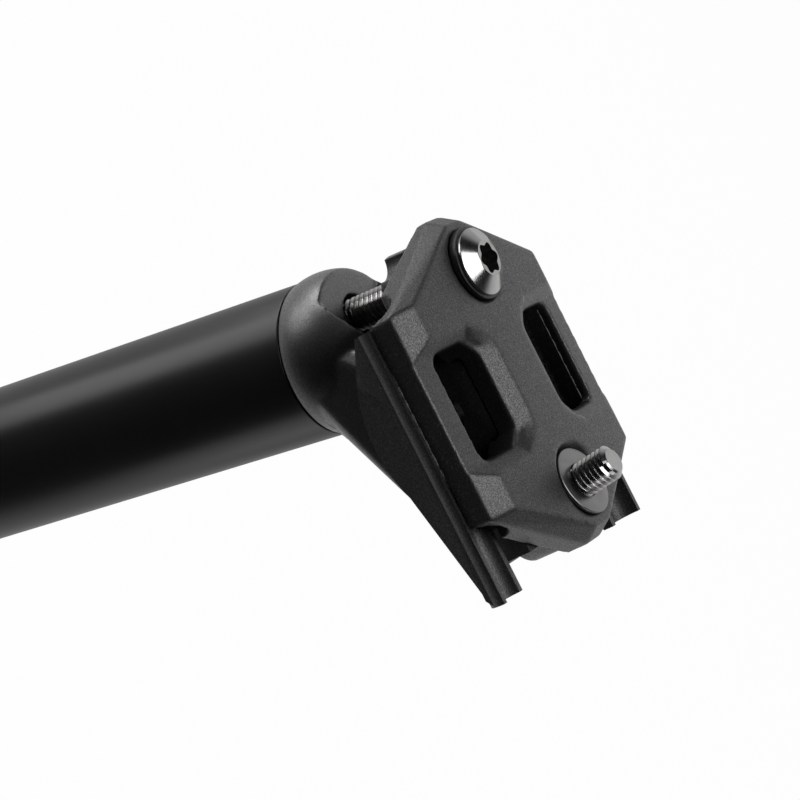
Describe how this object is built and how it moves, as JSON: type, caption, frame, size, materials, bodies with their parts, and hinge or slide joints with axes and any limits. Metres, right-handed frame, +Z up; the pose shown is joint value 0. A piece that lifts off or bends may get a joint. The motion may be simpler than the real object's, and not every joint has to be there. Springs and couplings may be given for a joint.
{
  "type": "bicycle seatpost",
  "caption": "Round bicycle seatpost with a forged head and a tilting two-bolt clamp for round saddle rails.",
  "frame": {"origin": "centre of the tube's lower end, on its axis", "axes": "+Z up the tube's axis to the clamp, +X to the rear, +Y to the rider's left"},
  "size_m": [0.0612, 0.0528, 0.368],
  "materials": {
    "tube": "black satin anodised",
    "head": "black matt anodised, bead blasted",
    "clamp": "black matt anodised, bead blasted",
    "bolt": "bright stainless steel",
    "dark_steel": "black oxide",
    "thumb_nut": "grey satin anodised"
  },
  "bodies": {
    "post": {"tube": "tube", "head": "head"},
    "clamp": {"lower_cradle": "clamp", "top_plate": "clamp"},
    "front_nut": {"barrel_nut": "dark_steel"},
    "front_seat": {"front_washer": "dark_steel"},
    "front_screw": {"front_bolt": "bolt"},
    "thumb_wheel": {"thumb_nut": "thumb_nut"},
    "rear_seat": {"rear_washer": "dark_steel"},
    "rear_screw": {"rear_bolt": "bolt"},
    "rear_nut_body": {"rear_nut": "bolt"}
  },
  "joints": [
    {"name": "clamp_tilt", "type": "hinge", "parent": "post", "child": "clamp", "pos_m": [0.01171, 0, 0.36485], "axis": [0, 1, 0], "range_deg": [-5, 5]},
    {"name": "barrel_nut_turn", "type": "hinge", "parent": "post", "child": "front_nut", "pos_m": [-0.00505, 0, 0.32571], "axis": [0, 1, 0], "range_deg": [-0.8, 0.8]},
    {"name": "front_seat_slide", "type": "slide", "parent": "front_nut", "child": "front_seat", "axis": [-0.0698, 0, 0.9976], "range_m": [-0.00174, 0.00174]},
    {"name": "front_bolt_turn", "type": "hinge", "parent": "front_seat", "child": "front_screw", "pos_m": [-0.00735, 0, 0.35859], "axis": [-0.0698, 0, 0.9976], "continuous": true},
    {"name": "thumb_nut_turn", "type": "hinge", "parent": "front_seat", "child": "thumb_wheel", "pos_m": [-0.00735, 0, 0.35859], "axis": [-0.0698, 0, 0.9976], "continuous": true},
    {"name": "rear_seat_turn", "type": "hinge", "parent": "post", "child": "rear_seat", "pos_m": [0.03992, 0, 0.33389], "axis": [0, 1, 0], "range_deg": [-1.03, 1.03]},
    {"name": "rear_bolt_turn", "type": "hinge", "parent": "rear_seat", "child": "rear_screw", "pos_m": [0.03992, 0, 0.33389], "axis": [-0.2672, 0, 0.9636], "continuous": true},
    {"name": "rear_nut_slide", "type": "slide", "parent": "rear_seat", "child": "rear_nut_body", "axis": [-0.2672, 0, 0.9636], "range_m": [-0.00169, 0.00169]}
  ],
  "couplings": [
    {"joint": "barrel_nut_turn", "follows": "clamp_tilt", "ratio": -0.15003},
    {"joint": "front_seat_slide", "follows": "clamp_tilt", "m_per_rad": 0.019432},
    {"joint": "rear_seat_turn", "follows": "clamp_tilt", "ratio": -0.1955},
    {"joint": "rear_nut_slide", "follows": "clamp_tilt", "m_per_rad": -0.018877}
  ]
}
